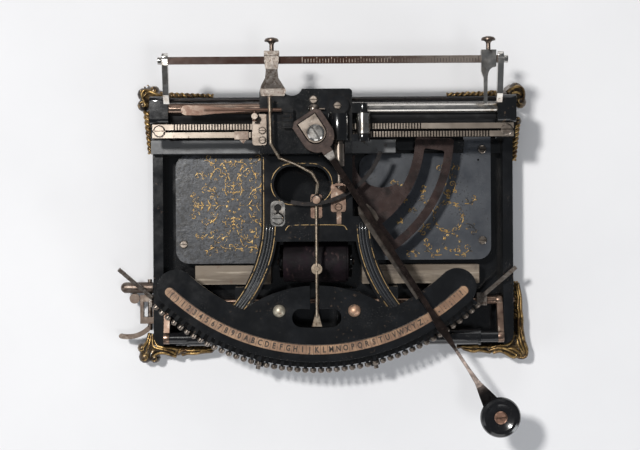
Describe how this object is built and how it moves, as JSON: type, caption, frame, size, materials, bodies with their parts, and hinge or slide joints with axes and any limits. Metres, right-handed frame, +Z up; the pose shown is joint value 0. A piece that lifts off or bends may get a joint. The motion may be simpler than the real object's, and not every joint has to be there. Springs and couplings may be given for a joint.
{
  "type": "index typewriter",
  "caption": "Index typewriter with a swinging pointer lever over a curved letter index, a comb, a type sector, an ink roll and a sliding rack carriage on a cast base.",
  "frame": {"origin": "middle of the four foot screw holes, on the surface that the machine stands on", "axes": "+Z up, +Y to the rear where the carriage is, +X to the operator's right"},
  "size_m": [0.3728, 0.3439, 0.114],
  "materials": {
    "japanned_iron": "gloss black japan over cast iron, worn at the edges",
    "rail_iron": "planed grey iron, oiled",
    "deck_enamel": "blue-grey enamel, speckled with age",
    "nickel": "nickel plate, tarnished warm",
    "bronzed_steel": "rusted copper-brown steel",
    "brass": "dull brass",
    "ebonite": "turned black ebonite",
    "platen_rubber": "hard black rubber",
    "copper_screw": "copper-coloured slotted screw",
    "blackened_steel": "blackened steel",
    "ink_roll": "ink-stained purple roll",
    "beech": "bare wood, greyed",
    "index_card": "tan letter strip"
  },
  "bodies": {
    "frame": {"base_casting": "japanned_iron", "corner_feet": "japanned_iron", "left_deck_plate": "deck_enamel", "right_deck_plate": "deck_enamel", "fixing_screws": "nickel", "rear_rail": "rail_iron", "sector_pin": "nickel", "wood_blocks": "beech", "lyre_frame": "japanned_iron", "tower_frame": "japanned_iron", "keyhole_plate": "nickel", "index_plate": "japanned_iron", "index_strip": "index_card", "index_posts": "japanned_iron", "dome_nuts": "brass", "comb": "japanned_iron", "comb_beads": "nickel", "drum_brackets": "japanned_iron", "drum_shaft": "nickel", "left_bracket": "nickel", "plunger_bracket": "nickel", "knuckle_post": "nickel", "roller_axle": "nickel", "pointer_arm": "nickel", "selector_pivot": "nickel", "fork_bracket": "bronzed_steel"},
    "carriage": {"carriage_end_left": "japanned_iron", "carriage_end_right": "japanned_iron", "rear_rack": "nickel", "front_rack": "nickel", "rack_screws": "nickel", "tab_clip": "brass", "tie_rod": "blackened_steel", "ruler": "bronzed_steel", "ruler_arms": "nickel"},
    "platen_roll": {"platen": "platen_rubber", "platen_axle": "nickel"},
    "press_roll": {"pressing_tube": "nickel"},
    "stop_slide": {"margin_stop": "nickel"},
    "stop_screw": {"margin_thumbscrew": "nickel"},
    "pointer_screw": {"pointer_thumbscrew": "nickel"},
    "turret": {"hub_block": "nickel", "swivel_screw": "nickel"},
    "pointer_lever": {"yoke": "bronzed_steel", "lever_arm": "bronzed_steel", "guide_strip": "nickel", "knob": "ebonite", "knob_screw": "copper_screw"},
    "sector": {"type_sector": "bronzed_steel"},
    "ink_roll": {"ink_drum": "ink_roll"},
    "guide_roll": {"guide_roller": "nickel"},
    "paddle": {"paddle_lever": "nickel"},
    "plunger_slide": {"plunger": "nickel"},
    "space_bail": {"cross_shaft": "nickel", "space_bar": "ebonite", "bar_straps": "nickel", "finger_bars": "nickel"},
    "rocker": {"left_lever": "nickel"},
    "selector": {"selector_rod": "brass", "cross_arm": "blackened_steel"}
  },
  "joints": [
    {"name": "carriage_travel", "type": "slide", "parent": "frame", "child": "carriage", "axis": [1, 0, 0], "range_m": [-0.1025, 0.0675]},
    {"name": "platen_spin", "type": "hinge", "parent": "carriage", "child": "platen_roll", "pos_m": [0, 0.0935, 0.07], "axis": [1, 0, 0], "continuous": true},
    {"name": "tube_spin", "type": "hinge", "parent": "carriage", "child": "press_roll", "pos_m": [0, 0.0975, 0.08347], "axis": [1, 0, 0], "continuous": true},
    {"name": "margin_stop_slide", "type": "slide", "parent": "carriage", "child": "stop_slide", "axis": [1, 0, 0], "range_m": [-0.055, 0]},
    {"name": "margin_stop_screw", "type": "hinge", "parent": "stop_slide", "child": "stop_screw", "pos_m": [0.1324, 0.1448, 0.1034], "axis": [0, 1, 0], "continuous": true},
    {"name": "pointer_arm_screw", "type": "hinge", "parent": "frame", "child": "pointer_screw", "pos_m": [-0.052, 0.1448, 0.1034], "axis": [0, 1, 0], "continuous": true},
    {"name": "lever_swing", "type": "hinge", "parent": "frame", "child": "turret", "pos_m": [-0.015, 0.0744, 0.094], "axis": [0, 0, 1], "range_deg": [-75.27, 9.65]},
    {"name": "lever_press", "type": "hinge", "parent": "turret", "child": "pointer_lever", "pos_m": [-0.02134, 0.08423, 0.107], "axis": [0.8405, 0.5419, 0], "range_deg": [0, 2], "stiffness_Nm_per_rad": 1, "springref_deg": -11.46},
    {"name": "sector_swing", "type": "hinge", "parent": "frame", "child": "sector", "pos_m": [-0.015, 0.0744, 0.0565], "axis": [0, 0, 1], "range_deg": [-75.27, 9.65]},
    {"name": "ink_roll_spin", "type": "hinge", "parent": "frame", "child": "ink_roll", "pos_m": [-0.0157, -0.0365, 0.033], "axis": [1, 0, 0], "continuous": true},
    {"name": "guide_roll_spin", "type": "hinge", "parent": "frame", "child": "guide_roll", "pos_m": [0.0258, 0.083, 0.0925], "axis": [0, 1, 0], "continuous": true},
    {"name": "paddle_press", "type": "hinge", "parent": "frame", "child": "paddle", "pos_m": [-0.0668, 0.0892, 0.1029], "axis": [0, -1, 0], "range_deg": [0, 4], "stiffness_Nm_per_rad": 0.03, "springref_deg": -14.32},
    {"name": "plunger_push", "type": "slide", "parent": "frame", "child": "plunger_slide", "axis": [0, 1, 0], "range_m": [0, 0.0025], "stiffness_N_per_m": 200, "springref_m": -0.002},
    {"name": "space_press", "type": "hinge", "parent": "frame", "child": "space_bail", "pos_m": [0, -0.072, 0.032], "axis": [1, 0, 0], "range_deg": [0, 8], "stiffness_Nm_per_rad": 0.8, "springref_deg": -8.59},
    {"name": "rocker_press", "type": "hinge", "parent": "frame", "child": "rocker", "pos_m": [-0.1665, -0.078, 0.0226], "axis": [0, -1, 0], "range_deg": [0, 6], "stiffness_Nm_per_rad": 0.05, "springref_deg": -14.32},
    {"name": "selector_shift", "type": "hinge", "parent": "frame", "child": "selector", "pos_m": [-0.0148, 0.0183, 0.0695], "axis": [0, 0, 1], "range_deg": [-2.5, 0], "stiffness_Nm_per_rad": 0.2, "springref_deg": 5.73}
  ],
  "couplings": [
    {"joint": "sector_swing", "follows": "lever_swing", "ratio": 1}
  ]
}
